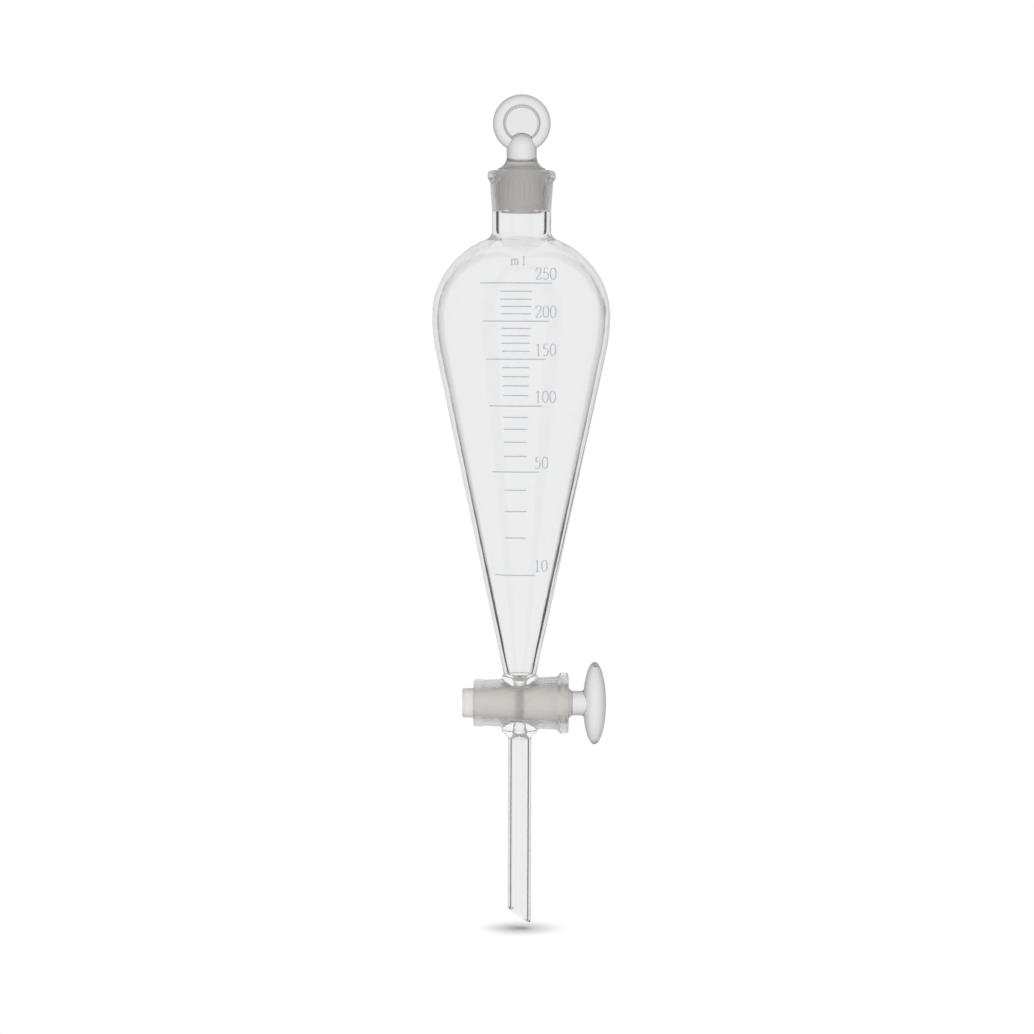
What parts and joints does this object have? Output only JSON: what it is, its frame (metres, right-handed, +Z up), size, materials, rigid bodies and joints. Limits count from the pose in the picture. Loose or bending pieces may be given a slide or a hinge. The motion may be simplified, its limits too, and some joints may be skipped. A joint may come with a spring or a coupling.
{
  "type": "separatory funnel",
  "caption": "Pear-shaped glass separatory funnel with a ground stopper, a graduated bulb, a fused stopcock with a turning plug, and a slanted drain stem.",
  "frame": {"origin": "on the funnel's axis, at the height where the cone rests in a support ring of 50 mm bore", "axes": "+Z up along the funnel's axis, +X along the stopcock towards its handle, -Y towards the printed front"},
  "size_m": [0.071, 0.0711, 0.3315],
  "materials": {
    "clear_glass": "clear, fire-polished, with ground joints",
    "blue_enamel": "fired enamel, satin"
  },
  "bodies": {
    "funnel": {"funnel_body": "clear_glass", "graduation_marks": "blue_enamel"},
    "stopper": {"stopper": "clear_glass"},
    "plug": {"stopcock_plug": "clear_glass"}
  },
  "joints": [
    {"name": "stopper_lift", "type": "slide", "parent": "funnel", "child": "stopper", "axis": [0, 0, 1], "range_m": [0, 0.05]},
    {"name": "stopcock_turn", "type": "hinge", "parent": "funnel", "child": "plug", "pos_m": [0, 0, -0.09851], "axis": [1, 0, 0], "continuous": true}
  ]
}
